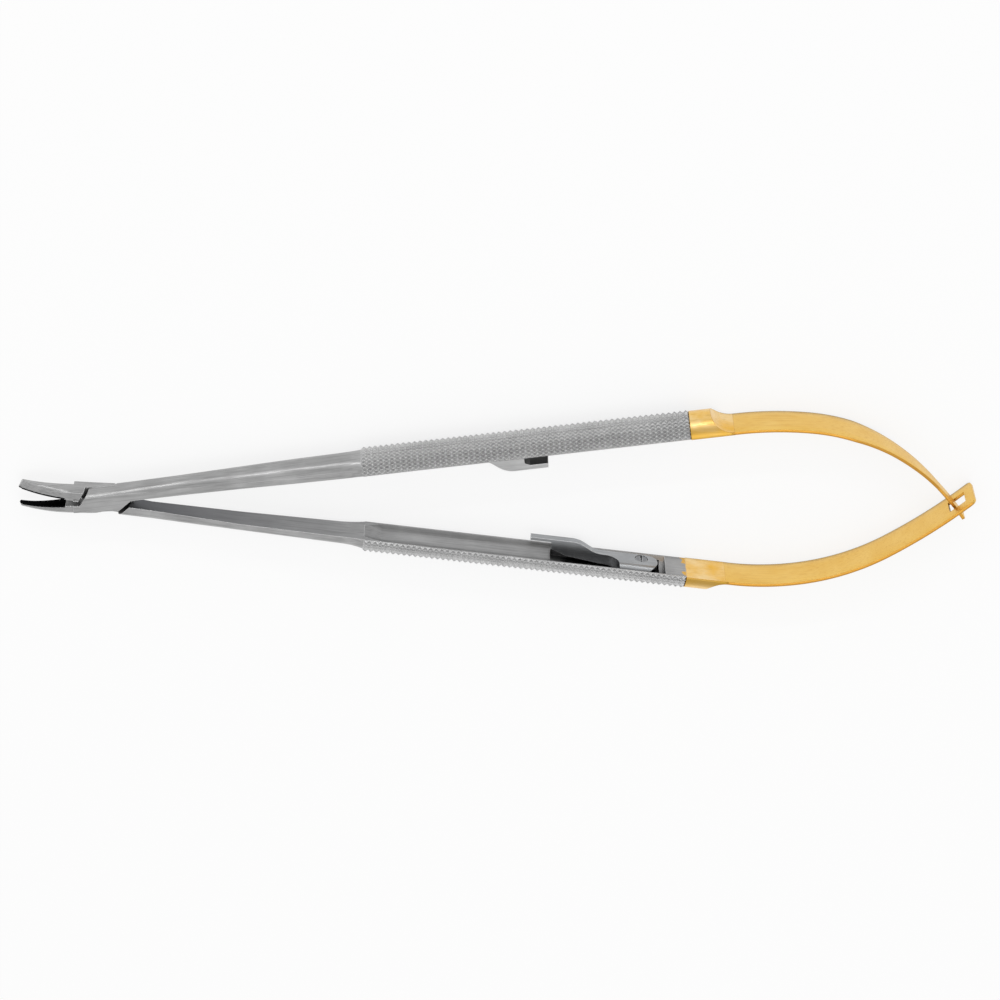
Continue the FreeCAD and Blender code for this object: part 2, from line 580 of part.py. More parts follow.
def build():
    """All nodes at rest, in the pivot frame."""
    upper_arm, lower_plate = make_arm(True, UPPER_SHANK, LOWER_JAW_BACK, UPPER_LAP_FOOT)
    lower_arm, upper_plate = make_arm(False, LOWER_SHANK, UPPER_JAW_BACK, LOWER_LAP_FOOT)
    upper_arm = upper_arm.cut(catch_bed()).cut(screw_hole(CATCH_SCREW_AT, catch_screw_top(), 0.0))
    lower_arm = lower_arm.cut(screw_hole(LATCH_SCREW_AT, latch_screw_top(), 0.0, LATCH_SCREW_OFFSET))
    nodes = {
        "upper_arm": to_rest(upper_arm, True),
        "lower_arm": to_rest(lower_arm, False),
        "lower_jaw_insert": to_rest(lower_plate, True),
        "upper_jaw_insert": to_rest(upper_plate, False),
        "pivot_screw": to_rest(make_pivot_screw(), True),
        "catch_hook": to_rest(make_catch(), True),
        "catch_screw": to_rest(slotted_screw(CATCH_SCREW_AT, catch_screw_top()), True),
        "latch": to_rest(make_latch(), False),
        "latch_screw": to_rest(slotted_screw(LATCH_SCREW_AT, latch_screw_top(), LATCH_SCREW_OFFSET), False),
        "upper_spring_socket": to_rest(make_socket(), True),
        "lower_spring_socket": to_rest(make_socket(), False),
        "upper_leaf_spring": make_upper_leaf(),
        "lower_leaf_spring": make_lower_leaf(),
    }
    return nodes


def main():
    """Builds, moves onto the table and writes each node."""
    nodes = build()
    box = Part.makeCompound(list(nodes.values())).optimalBoundingBox(True, False)
    shift = Vector(-(box.XMin + box.XMax) / 2, -(box.YMin + box.YMax) / 2, -box.ZMin)
    os.makedirs("parts", exist_ok=True)
    for name, shape in nodes.items():
        shape.translate(shift)
        shape.exportStep("parts/" + name + ".step")
        print(name, "valid" if shape.isValid() else "INVALID", len(shape.Solids), "solids",
              round(shape.Volume, 3), "mm3")
    marks = {"pivot": Vector(0, 0, 0), "upper_root": root_at_rest(True), "lower_root": root_at_rest(False),
             "latch_root": to_rest(Part.Vertex(latch_pivot()), False).Point,
             "edge_point": leaf_spine(False)[0][1][2] - UP * (LEAF_WIDTH / 2), "jaw_point": Vector(-JAW_LENGTH, 0, 0)}
    for name, point in marks.items():
        place = point + shift
        print(name, round(place.x, 4), round(place.y, 4), round(place.z, 4))
    print("box", round(box.XLength, 3), round(box.YLength, 3), round(box.ZLength, 3))


main()
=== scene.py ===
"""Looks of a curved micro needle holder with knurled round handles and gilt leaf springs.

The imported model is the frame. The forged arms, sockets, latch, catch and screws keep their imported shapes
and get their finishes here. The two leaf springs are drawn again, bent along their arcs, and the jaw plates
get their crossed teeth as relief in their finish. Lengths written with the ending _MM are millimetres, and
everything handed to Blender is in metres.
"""
from __future__ import annotations

import json
import logging
import math
from dataclasses import dataclass
from enum import Enum
from typing import Any, Sequence

import bmesh
import bpy
from mathutils import Matrix, Vector

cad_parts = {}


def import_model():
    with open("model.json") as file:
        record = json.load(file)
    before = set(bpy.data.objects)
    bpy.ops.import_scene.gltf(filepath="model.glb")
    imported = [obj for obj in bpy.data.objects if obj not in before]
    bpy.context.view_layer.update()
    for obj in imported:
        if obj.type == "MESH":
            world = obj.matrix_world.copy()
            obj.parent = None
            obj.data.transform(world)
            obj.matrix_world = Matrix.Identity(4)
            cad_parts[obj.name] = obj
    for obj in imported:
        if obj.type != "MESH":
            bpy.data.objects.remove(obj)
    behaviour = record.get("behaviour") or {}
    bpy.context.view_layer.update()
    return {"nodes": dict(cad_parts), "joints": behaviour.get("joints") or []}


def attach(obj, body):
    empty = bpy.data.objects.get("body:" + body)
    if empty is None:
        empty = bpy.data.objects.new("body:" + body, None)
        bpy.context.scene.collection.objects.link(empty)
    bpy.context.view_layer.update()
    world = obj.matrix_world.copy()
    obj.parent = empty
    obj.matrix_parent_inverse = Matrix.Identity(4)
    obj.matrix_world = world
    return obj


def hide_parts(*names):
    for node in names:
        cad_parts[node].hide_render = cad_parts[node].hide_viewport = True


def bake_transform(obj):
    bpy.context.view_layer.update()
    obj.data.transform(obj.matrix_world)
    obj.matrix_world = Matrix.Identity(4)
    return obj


LOG = logging.getLogger("needle_holder")
MM = 0.001
HANDLE_HALF_ANGLE_DEG = 7.47
LEAF_THICKNESS_MM = 0.6
LEAF_WIDTH_MM = 7.4
UPPER_LEAF_ARCS = ((14.1, -13.0), (17.1, -28.5), (10.5, -14.0), (9.4, -7.0))  # length in mm, turn in degrees
LOWER_LEAF_ARCS = ((14.1, 17.0), (16.9, 22.4), (19.6, 11.0))
SMOOTH_ANGLE_DEG = 24.0

Socket = bpy.types.NodeSocket
Colour = tuple[float, float, float, float]


class Side(Enum):
    """The two handles, named for where they lie in the picture."""

    UPPER = 1
    LOWER = -1


def linear(code: str) -> Colour:
    """Turns an sRGB hex code into a linear colour.

    Args:
        code: Six hex digits with a leading hash.

    Returns:
        Linear red, green, blue and an alpha of 1.
    """
    values = []
    for start in (1, 3, 5):
        share = int(code[start:start + 2], 16) / 255.0
        values.append(share / 12.92 if share <= 0.04045 else ((share + 0.055) / 1.055) ** 2.4)
    return (values[0], values[1], values[2], 1.0)


def add(tree: bpy.types.NodeTree, kind: str, inputs: dict[Any, Any] | None = None, **settings: Any) -> bpy.types.Node:
    """Adds a node with its settings, and sets or links its inputs.

    Args:
        tree: The tree that gets the node.
        kind: The node's type name.
        inputs: Values or output sockets by input name or index.
        settings: Attributes of the node.

    Returns:
        The new node.
    """
    node = tree.nodes.new(kind)
    for name, value in settings.items():
        setattr(node, name, value)
    for key, value in (inputs or {}).items():
        if isinstance(value, Socket):
            tree.links.new(value, node.inputs[key])
        else:
            node.inputs[key].default_value = value
    return node


def new_material(name: str) -> tuple[bpy.types.Material, bpy.types.NodeTree]:
    """Makes an empty node material.

    Args:
        name: The material's name.

    Returns:
        The material and its node tree.
    """
    material = bpy.data.materials.new(name)
    material.use_nodes = True
    material.node_tree.nodes.clear()
    return material, material.node_tree


def spread(tree: bpy.types.NodeTree, value: Socket, source: tuple[float, float],
           target: tuple[float, float]) -> Socket:
    """Maps a value from one range to another, clamped.

    Args:
        tree: The material's tree.
        value: The value.
        source: The two ends of its range.
        target: What they become.

    Returns:
        The mapped value.
    """
    return add(tree, "ShaderNodeMapRange", {"Value": value, "From Min": source[0], "From Max": source[1],
                                            "To Min": target[0], "To Max": target[1]}).outputs["Result"]


def multiply(tree: bpy.types.NodeTree, one: Socket, other: Socket) -> Socket:
    """Product of two values.

    Args:
        tree: The material's tree.
        one: A value.
        other: The other value.

    Returns:
        Their product.
    """
    return add(tree, "ShaderNodeMath", {0: one, 1: other}, operation="MULTIPLY").outputs["Value"]


def blend_colour(tree: bpy.types.NodeTree, share: Socket, one: Any, other: Any) -> Socket:
    """Mixes two colours.

    Args:
        tree: The material's tree.
        share: How much of the other colour.
        one: A colour or a socket.
        other: The other colour or socket.

    Returns:
        The mixed colour.
    """
    node = add(tree, "ShaderNodeMix", data_type="RGBA")
    for name, value in (("Factor", share), ("A", one), ("B", other)):
        sockets = [socket for socket in node.inputs if socket.name == name and socket.enabled]
        if isinstance(value, Socket):
            tree.links.new(value, sockets[0])
        else:
            sockets[0].default_value = value
    return next(socket for socket in node.outputs if socket.enabled)


@dataclass(frozen=True)
class MetalSkin:
    """What every metal here shares: rounded edges in an edge colour that is a painted highlight on the steels, ground
    lines, and painted shade in hollows and between parts.

    The ground lines follow the piece, so the pattern is turned with it.
    """

    name: str
    turn_deg: float = 0.0
    roughness: float = 0.34
    roughness_spread: float = 0.10
    line_width_mm: float = 0.22       # real lines are about 0.05 mm, drawn coarser so that they show
    line_length_mm: float = 9.0
    line_depth_mm: float = 0.006
    patch_size_mm: float = 5.0
    patch_from: float = 0.35
    patch_to: float = 0.65
    bump_strength: float = 0.5
    edge_radius_mm: float = 0.12
    edge_from: float = 0.992          # cosine between face and rounded edge where the edge colour begins (on the steels a painted highlight)
    edge_to: float = 0.93             # and where it is complete
    edge_share: float = 0.95
    painted_shade_reach_mm: float = 2.2
    painted_shade_from: float = 0.22         # share of open surroundings where the painted shade is darkest
    painted_shade_to: float = 0.68           # and where the painted shade ends, on an open face
    painted_shade_left: float = 0.03        # share of the colour that the painted shade leaves at the bottom of a deep hollow

    def placed(self, tree: bpy.types.NodeTree) -> Socket:
        """Turns the place on the piece so that X runs along it.

        Args:
            tree: The material's tree.

        Returns:
            The turned place.
        """
        place = add(tree, "ShaderNodeTexCoord")
        return add(tree, "ShaderNodeMapping", {"Vector": place.outputs["Object"],
                                               "Rotation": (0.0, 0.0, -math.radians(self.turn_deg))}).outputs["Vector"]

    def lines(self, tree: bpy.types.NodeTree, along: Socket) -> Socket:
        """Makes the fine lines that run along the piece.

        Args:
            tree: The material's tree.
            along: Place with X along the piece.

        Returns:
            Height of the lines, 0 to 1.
        """
        width, length = self.line_width_mm * MM, self.line_length_mm * MM
        stretch = add(tree, "ShaderNodeMapping", {"Vector": along, "Scale": (1.0 / length, 1.0 / width, 1.0 / width)})
        return add(tree, "ShaderNodeTexNoise", {"Vector": stretch.outputs["Vector"], "Scale": 1.0, "Detail": 2.0,
                                                "Roughness": 0.6}).outputs["Fac"]

    def patches(self, tree: bpy.types.NodeTree, along: Socket) -> Socket:
        """Makes soft patches.

        Args:
            tree: The material's tree.
            along: Place with X along the piece.

        Returns:
            Share of each patch, 0 to 1.
        """
        noise = add(tree, "ShaderNodeTexNoise", {"Vector": along, "Scale": 1.0 / (self.patch_size_mm * MM),
                                                 "Detail": 4.0, "Roughness": 0.55})
        return spread(tree, noise.outputs["Fac"], (self.patch_from, self.patch_to), (0.0, 1.0))

    def finish(self, tree: bpy.types.NodeTree, body: Socket, edge: Colour, lines: Socket) -> None:
        """Adds the edge colour (on the steels a painted highlight), painted shade in hollows and between parts, and
        the shader.

        Args:
            tree: The material's tree.
            body: Colour of the open faces.
            edge: Colour of the rounded edges, on the steels a white painted highlight.
            lines: The ground lines.
        """
        rounded = add(tree, "ShaderNodeBevel", {"Radius": self.edge_radius_mm * MM}, samples=6)
        flat = add(tree, "ShaderNodeNewGeometry")
        turned = add(tree, "ShaderNodeVectorMath", {0: rounded.outputs["Normal"], 1: flat.outputs["Normal"]},
                     operation="DOT_PRODUCT")
        # edge colour along the rounded edges: on the steels a white painted highlight, on the gilt a deeper tone
        edge_tone_and_highlight = spread(tree, turned.outputs["Value"], (self.edge_from, self.edge_to), (0.0, self.edge_share))
        open_face = blend_colour(tree, edge_tone_and_highlight, body, edge)
        # painted shade: ambient occlusion darkens the colour in hollows, slots and between parts
        occlusion = add(tree, "ShaderNodeAmbientOcclusion", {"Distance": self.painted_shade_reach_mm * MM}, samples=8)
        painted_shade = spread(tree, occlusion.outputs["AO"], (self.painted_shade_from, self.painted_shade_to), (self.painted_shade_left, 1.0))
        colour = add(tree, "ShaderNodeMix", {"Factor": 1.0, "A": open_face, "B": painted_shade}, data_type="RGBA",
                     blend_type="MULTIPLY")
        half = self.roughness_spread / 2.0
        rough = spread(tree, lines, (0.25, 0.75), (self.roughness - half, self.roughness + half))
        bump = add(tree, "ShaderNodeBump", {"Height": lines, "Strength": self.bump_strength,
                                            "Distance": self.line_depth_mm * MM,
                                            "Normal": rounded.outputs["Normal"]})
        metal = add(tree, "ShaderNodeBsdfPrincipled", {"Base Color": colour.outputs["Result"], "Metallic": 1.0,
                                                       "Roughness": rough, "Normal": bump.outputs["Normal"]})
        add(tree, "ShaderNodeOutputMaterial", {"Surface": metal.outputs["BSDF"]})


@dataclass(frozen=True)
class SatinSteel(MetalSkin):
    """Hardened stainless steel, brushed along the piece and then tumbled to a satin, with its edges drawn white as a
    painted highlight.
    """

    base: str = "#B2B2B2"
    cloud: str = "#A3A3A3"
    streak: str = "#7F7F7F"
    streak_from: float = 0.46
    streak_to: float = 0.68
    streak_share: float = 0.55
    # white edge colour: a painted highlight along the rounded edges
    edge: str = "#FFFFFF"

    def body(self, tree: bpy.types.NodeTree, along: Socket) -> Socket:
        """Makes the cloudy grey of the open faces, streaked along the piece.

        Args:
            tree: The material's tree.
            along: Place with X along the piece.

        Returns:
            The colour.
        """
        cloudy = blend_colour(tree, self.patches(tree, along), linear(self.base), linear(self.cloud))
        share = spread(tree, self.lines(tree, along), (self.streak_from, self.streak_to), (0.0, self.streak_share))
        return blend_colour(tree, share, cloudy, linear(self.streak))

    def build(self) -> bpy.types.Material:
        """Makes the material.

        Returns:
            The material.
        """
        material, tree = new_material(self.name)
        along = self.placed(tree)
        self.finish(tree, self.body(tree, along), linear(self.edge), self.lines(tree, along))
        return material


@dataclass(frozen=True)
class ArmSteel(SatinSteel):
    """Steel of an arm: painted shade on its inner face, darker towards the joint, and gilt where the plating runs
    over.
    """

    inward: tuple[float, float, float] = (0.0, 1.0, 0.0)
    inner_from: float = 0.80          # how far a face has to look inward before it counts as inner
    inner_to: float = 0.97
    # colour of the painted shade on the inner face
    ground: str = "#5C5D60"
    inner_shade_from_mm: float = -66.0     # painted shade darkest here, near the joint
    inner_shade_to_mm: float = -14.0
    inner_shade_rest: float = 0.10        # what is left of the painted shade from there on
    joint_margin_mm: float = 5.0      # the painted shade fades in over a short stretch before the joint
    joint_fade_mm: float = 3.0
    gilt: str = "#DDAE55"
    gilt_from_mm: float = 37.3        # places are along the arm
    gilt_ragged_mm: float = 1.6
    gilt_border_mm: float = 0.15

    def body(self, tree: bpy.types.NodeTree, along: Socket) -> Socket:
        """Makes the cloudy grey, with the inner face's own colours.

        Args:
            tree: The material's tree.
            along: Place with X along the piece.

        Returns:
            The colour.
        """
        place = add(tree, "ShaderNodeTexCoord")
        facing = add(tree, "ShaderNodeVectorMath", {0: place.outputs["Normal"], 1: self.inward},
                     operation="DOT_PRODUCT")
        inner = spread(tree, facing.outputs["Value"], (self.inner_from, self.inner_to), (0.0, 1.0))
        x = add(tree, "ShaderNodeSeparateXYZ", {"Vector": along}).outputs["X"]
        dark = spread(tree, x, (self.inner_shade_from_mm * MM, self.inner_shade_to_mm * MM), (1.0, self.inner_shade_rest))
        joint_mm = self.inner_shade_from_mm - self.joint_margin_mm
        past_joint = spread(tree, x, (joint_mm * MM, (joint_mm + self.joint_fade_mm) * MM), (0.0, 1.0))
        # painted shade on the inner face, strongest near the joint
        ground = multiply(tree, multiply(tree, inner, dark), past_joint)
        steel = blend_colour(tree, ground, super().body(tree, along), linear(self.ground))
        ragged = add(tree, "ShaderNodeTexNoise", {"Vector": along, "Scale": 1.0 / (self.gilt_ragged_mm * MM),
                                                  "Detail": 2.0})
        shift = spread(tree, ragged.outputs["Fac"], (0.3, 0.7), (-self.gilt_ragged_mm * MM, self.gilt_ragged_mm * MM))
        reach = add(tree, "ShaderNodeMath", {0: x, 1: shift}, operation="ADD").outputs["Value"]
        border = (self.gilt_from_mm * MM, (self.gilt_from_mm + self.gilt_border_mm) * MM)
        plated = spread(tree, reach, border, (0.0, 1.0))
        return blend_colour(tree, multiply(tree, plated, inner), steel, linear(self.gilt))


@dataclass(frozen=True)
class GiltSteel(MetalSkin):
    """Spring steel with a thin gold plating over its ground lines, deeper in colour along its edges, and painted shade
    on faces that look up.
    """

    pale: str = "#F3CB72"
    gold: str = "#EEC264"
    streak_and_shade_gold: str = "#C98F38"             # deeper gold of the brush streaks, and painted shade on the sides that look up
    edge: str = "#B87A2E"
    up_shade_from: float = 0.80          # how far a face has to look up before it gets the painted shade
    up_shade_to: float = 0.97
    up_shade_share: float = 0.85
    brush_from: float = 0.48
    brush_to: float = 0.70
    brush_share: float = 0.3

    def build(self) -> bpy.types.Material:
        """Makes the material.

        Returns:
            The material.
        """
        material, tree = new_material(self.name)
        along = self.placed(tree)
        wide = blend_colour(tree, self.patches(tree, along), linear(self.gold), linear(self.pale))
        lines = self.lines(tree, along)
        brush = spread(tree, lines, (self.brush_from, self.brush_to), (0.0, self.brush_share))
        brushed = blend_colour(tree, brush, wide, linear(self.streak_and_shade_gold))
        normal = add(tree, "ShaderNodeNewGeometry").outputs["Normal"]
        upright = add(tree, "ShaderNodeSeparateXYZ", {"Vector": normal}).outputs["Z"]
        level = spread(tree, upright, (self.up_shade_from, self.up_shade_to), (0.0, self.up_shade_share))
        # painted shade: faces that look up are darkened to the deeper gold
        body = blend_colour(tree, level, brushed, linear(self.streak_and_shade_gold))
        self.finish(tree, body, linear(self.edge), lines)
        return material


@dataclass(frozen=True)
class HardMetal:
    """Sintered tungsten carbide with crossed ground teeth: a matte grey, darker than the real metal as painted shade,
    with painted shade near black in the grooves between them.
    """

    name: str = "hard_metal"
    # the carbide's grey, darkened past the real metal: partly painted shade
    base: str = "#2A2A2C"
    # near black painted shade at the bottom of the grooves
    groove_shade: str = "#060606"
    glance_shade: str = "#808080"           # reflection kept dark also at a glancing angle: painted shade
    roughness: float = 0.46
    tooth_mm: float = 0.45            # real teeth are about 0.25 mm apart, drawn coarser so that they show
    tooth_depth_mm: float = 0.10
    tooth_strength: float = 0.8
    groove_height: float = 0.1        # relief that counts as the bottom of a groove
    point_height: float = 1.1         # and as the point of a tooth
    grit_mm: float = 0.15
    grit_share: float = 0.25

    def teeth(self, tree: bpy.types.NodeTree, place: Socket) -> Socket:
        """Makes the crossed teeth.

        Args:
            tree: The material's tree.
            place: Place on the plate.

        Returns:
            Their height, 0 in the grooves and 1 at the points.
        """
        slopes = []
        for way in ((1.0, 0.0, 1.0), (1.0, 0.0, -1.0)):
            run = add(tree, "ShaderNodeVectorMath", {0: place, 1: way}, operation="DOT_PRODUCT").outputs["Value"]
            slope = add(tree, "ShaderNodeMath", {0: run, 1: self.tooth_mm * MM / 2.0}, operation="PINGPONG")
            slopes.append(spread(tree, slope.outputs["Value"], (0.0, self.tooth_mm * MM / 2.0), (0.0, 1.0)))
        return add(tree, "ShaderNodeMath", {0: slopes[0], 1: slopes[1]}, operation="MINIMUM").outputs["Value"]

    def build(self) -> bpy.types.Material:
        """Makes the material.

        Returns:
            The material.
        """
        material, tree = new_material(self.name)
        place = add(tree, "ShaderNodeTexCoord")
        grit = add(tree, "ShaderNodeTexNoise", {"Vector": place.outputs["Object"],
                                                "Scale": 1.0 / (self.grit_mm * MM), "Detail": 3.0})
        height = self.teeth(tree, place.outputs["Object"])
        relief = add(tree, "ShaderNodeMath", {0: grit.outputs["Fac"], 1: self.grit_share, 2: height},
                     operation="MULTIPLY_ADD").outputs["Value"]
        raised = spread(tree, relief, (self.groove_height, self.point_height), (0.0, 1.0))
        # painted shade: the grooves between the teeth are coloured near black
        colour = blend_colour(tree, raised, linear(self.groove_shade), linear(self.base))
        bump = add(tree, "ShaderNodeBump", {"Height": relief, "Strength": self.tooth_strength,
                                            "Distance": self.tooth_depth_mm * MM})
        metal = add(tree, "ShaderNodeBsdfPrincipled", {"Base Color": colour, "Metallic": 1.0,
                                                       "Roughness": self.roughness,
                                                       "Specular Tint": linear(self.glance_shade),
                                                       "Normal": bump.outputs["Normal"]})
        add(tree, "ShaderNodeOutputMaterial", {"Surface": metal.outputs["BSDF"]})
        return material


@dataclass
class ForgedParts:
    """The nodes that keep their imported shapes, and the finish of each."""

    nodes: dict[str, bpy.types.Object]

    def dress(self) -> None:
        """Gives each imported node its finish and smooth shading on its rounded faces."""
        turn = math.radians(HANDLE_HALF_ANGLE_DEG)
        upper_arm = ArmSteel("satin_steel_upper", HANDLE_HALF_ANGLE_DEG, edge_radius_mm=0.09,
                             inward=(math.sin(turn), -math.cos(turn), 0.0)).build()
        lower_arm = ArmSteel("satin_steel_lower", -HANDLE_HALF_ANGLE_DEG, edge_radius_mm=0.09,
                             inward=(math.sin(turn), math.cos(turn), 0.0)).build()
        # the long reach paints the catch's slot near black: painted shade
        catch = SatinSteel("satin_steel_catch", HANDLE_HALF_ANGLE_DEG, painted_shade_reach_mm=8.0).build()
        # the latch's pale edge colour is a painted highlight
        latch = SatinSteel("latch_steel", -HANDLE_HALF_ANGLE_DEG, base="#B0B2B4", cloud="#A0A2A4",
                           edge="#E4E5E6").build()
        screws = SatinSteel("screw_steel", base="#97999C", cloud="#87898C", roughness=0.3).build()
        gilt = GiltSteel("gilt_socket", pale="#FADA9C", gold="#F2BE4E", streak_and_shade_gold="#C0953A", edge="#C08434").build()
        finishes = {"upper_arm": upper_arm, "lower_arm": lower_arm, "catch_hook": catch, "latch": latch,
                    "pivot_screw": screws, "catch_screw": screws, "latch_screw": screws,
                    "upper_spring_socket": gilt, "lower_spring_socket": gilt}
        for node, finish in finishes.items():
            thing = self.nodes[node]
            thing.data.materials.clear()
            thing.data.materials.append(finish)
            thing.data.set_sharp_from_angle(angle=math.radians(SMOOTH_ANGLE_DEG))
            LOG.info("dressed %s with %s", node, finish.name)


@dataclass
class LeafSpring:
    """One gilt leaf: a flat strip, bent along its arcs."""

    side: Side
    root: Vector
    arcs: tuple[tuple[float, float], ...]
    body: str
    handle: str
    node: str
    steps_per_arc: int = 26
    edge_round_mm: float = 0.06
    let_in_mm: float = 1.0            # the strip starts this far inside its socket
    edge_angle_deg: float = 40.0      # edges sharper than this are rounded
    crease_angle_deg: float = 50.0
    stiff_share: float = 0.72         # share of the strip's length

    def length_mm(self) -> float:
        """Length of the strip along its middle."""
        return sum(length for length, _ in self.arcs)

    def at(self, along: float) -> tuple[Vector, Vector]:
        """Point and sideways direction of the strip's middle.

        Args:
            along: Distance from the root in millimetres.

        Returns:
            The point in metres and the unit normal, both in the row frame.
        """
        heading = math.radians(HANDLE_HALF_ANGLE_DEG * self.side.value)
        point = self.root.copy()
        left = along
        for index, (length, turn_deg) in enumerate(self.arcs):
            last = index == len(self.arcs) - 1
            run = left if left < length or last else length
            bend = math.radians(turn_deg) / length
            swing = bend * run
            chord = (2.0 / bend) * math.sin(swing / 2.0) * MM
            way = heading + swing / 2.0
            point = point + Vector((chord * math.cos(way), chord * math.sin(way), 0.0))
            heading += swing
            left -= run
            if left <= 0.0:
                break
        return point, Vector((-math.sin(heading), math.cos(heading), 0.0))

    def half_width(self, along: float) -> float:
        """Half of the strip's width at a distance from the root, in millimetres."""
        return LEAF_WIDTH_MM / 2.0

    def columns(self) -> list[float]:
        """Lists where the mesh has a row of points.

        Returns:
            Distances along the strip, in millimetres.
        """
        marks = [-self.let_in_mm]
        start = 0.0
        for length, _ in self.arcs:
            marks += [start + length * step / self.steps_per_arc for step in range(self.steps_per_arc)]
            start += length
        return marks + [start]

    def rows(self) -> list[float]:
        """Shares of the half width where the mesh has points."""
        return [-1.0, -0.45, 0.0, 0.45, 1.0]

    def is_open(self, along: float, share: float) -> bool:
        """Whether the strip has no metal at a place."""
        return False

    def build(self, finish: bpy.types.Material) -> bpy.types.Object:
        """Makes the flat strip, rounds its edges and bends it along the arcs.

        Args:
            finish: The material.

        Returns:
            The strip's object.
        """
        columns, rows = self.columns(), self.rows()
        work = bmesh.new()
        grid = {}
        half = LEAF_THICKNESS_MM / 2.0
        for face in (-half, half):
            for along in columns:
                for share in rows:
                    grid[face, along, share] = work.verts.new(
                        Vector((along, face, share * self.half_width(along))) * MM)
        cells = [(a0, a1, r0, r1) for a0, a1 in zip(columns, columns[1:]) for r0, r1 in zip(rows, rows[1:])
                 if not self.is_open((a0 + a1) / 2.0, (r0 + r1) / 2.0)]
        edges: dict[tuple[tuple[float, float], tuple[float, float]], int] = {}
        for a0, a1, r0, r1 in cells:
            ring = [(a0, r0), (a1, r0), (a1, r1), (a0, r1)]
            work.faces.new([grid[half, a, r] for a, r in ring])
            work.faces.new([grid[-half, a, r] for a, r in reversed(ring)])
            for here, there in zip(ring, ring[1:] + ring[:1]):
                edges[here, there] = 1
        for here, there in edges:
            if (there, here) not in edges:
                work.faces.new([grid[-half, here[0], here[1]], grid[-half, there[0], there[1]],
                                grid[half, there[0], there[1]], grid[half, here[0], here[1]]])
        loose = [vert for vert in work.verts if not vert.link_faces]
        bmesh.ops.delete(work, geom=loose, context="VERTS")
        bmesh.ops.recalc_face_normals(work, faces=work.faces)
        sharp = [edge for edge in work.edges if edge.calc_face_angle(0.0) > math.radians(self.edge_angle_deg)]
        bmesh.ops.bevel(work, geom=sharp, offset=self.edge_round_mm * MM, segments=2, profile=0.5,
                        affect="EDGES", clamp_overlap=True)
        for vert in work.verts:
            point, normal = self.at(vert.co.x / MM)
            vert.co = point + normal * vert.co.y + Vector((0.0, 0.0, vert.co.z))
        mesh = bpy.data.meshes.new(self.node + "_strip")
        work.to_mesh(mesh)
        work.free()
        for polygon in mesh.polygons:
            polygon.use_smooth = True
        mesh.set_sharp_from_angle(angle=math.radians(self.crease_angle_deg))
        mesh.materials.append(finish)
        strip = bpy.data.objects.new(self.node + "_strip", mesh)
        bpy.context.scene.collection.objects.link(strip)
        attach(strip, self.body)
        strip.parent = None
        self.at(0.0)[0]
        (self.at(
            self.length_mm() * self.stiff_share)[0])
        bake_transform(strip)
        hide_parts(self.node)
        LOG.info("bent %s, %.1f mm long", self.node, self.length_mm())
        return strip


@dataclass
class TonguedLeaf(LeafSpring):
    """The upper leaf, which narrows to the tongue that passes through the other leaf."""

    # Distance before the end along the instrument, and the width there
    taper_mm: tuple[tuple[float, float], ...] = ((21.6, 7.4), (15.9, 5.9), (10.3, 4.3), (5.2, 2.2), (0.0, 2.2))

    def half_width(self, along: float) -> float:
        """Works out half of the strip's width.

        Args:
            along: Distance from the root in millimetres.

        Returns:
            Half of the width there, in millimetres.
        """
        before = (self.at(self.length_mm())[0].x - self.at(along)[0].x) / MM  # lengthwise, along X
        for (far, wide), (near, narrow) in zip(self.taper_mm, self.taper_mm[1:]):
            if before >= near:
                return (narrow + (wide - narrow) * min(1.0, (before - near) / (far - near))) / 2.0
        return self.taper_mm[-1][1] / 2.0


@dataclass
class WindowedLeaf(LeafSpring):
    """The lower leaf, with the window that the tongue passes through and rounded end corners."""

    window_length_mm: float = 3.7
    window_height_mm: float = 3.3
    window_from_end_mm: float = 1.9
    corner_mm: float = 1.0
    corner_steps: int = 6

    def half_width(self, along: float) -> float:
        """Works out half of the strip's width.

        Args:
            along: Distance from the root in millimetres.

        Returns:
            Half of the width there, in millimetres.
        """
        past = along - (self.length_mm() - self.corner_mm)
        full = LEAF_WIDTH_MM / 2.0
        if past <= 0.0:
            return full
        return full - self.corner_mm + math.sqrt(max(self.corner_mm ** 2 - past ** 2, 0.0))

    def columns(self) -> list[float]:
        """Lists where the mesh has a row of points.

        Returns:
            Distances along the strip, in millimetres.
        """
        length = self.length_mm()
        window_end = length - self.window_from_end_mm
        window_start = window_end - self.window_length_mm
        extra = {window_start, window_end}
        for step in range(self.corner_steps + 1):
            turn = math.pi / 2.0 * step / self.corner_steps
            extra.add(length - self.corner_mm + self.corner_mm * math.sin(turn))
        return sorted(set(super().columns()) | extra)

    def rows(self) -> list[float]:
        """Shares of the half width where the mesh has points."""
        hole = self.window_height_mm / LEAF_WIDTH_MM
        return [-1.0, -hole, 0.0, hole, 1.0]

    def is_open(self, along: float, share: float) -> bool:
        """Tells whether a place lies in the window.

        Args:
            along: Distance from the root in millimetres.
            share: Share of the half width.

        Returns:
            Whether the strip is open there.
        """
        end = self.length_mm() - self.window_from_end_mm
        inside = end - self.window_length_mm < along < end
        return inside and abs(share) < self.window_height_mm / LEAF_WIDTH_MM


@dataclass(frozen=True)
class SoftLamp:
    """A rectangular lamp that faces the instrument."""

    name: str
    place_mm: tuple[float, float, float]
    size_mm: tuple[float, float]
    power_w: float

    def hang(self) -> None:
        """Puts the lamp into the scene."""
        light = bpy.data.lights.new(self.name, "AREA")
        light.shape = "RECTANGLE"
        light.size, light.size_y = (side * MM for side in self.size_mm)
        light.energy = self.power_w
        lamp = bpy.data.objects.new(self.name, light)
        lamp.location = Vector(self.place_mm) * MM
        lamp.rotation_mode = "QUATERNION"
        lamp.rotation_quaternion = (-lamp.location).to_track_quat("-Z", "Y")
        bpy.context.scene.collection.objects.link(lamp)


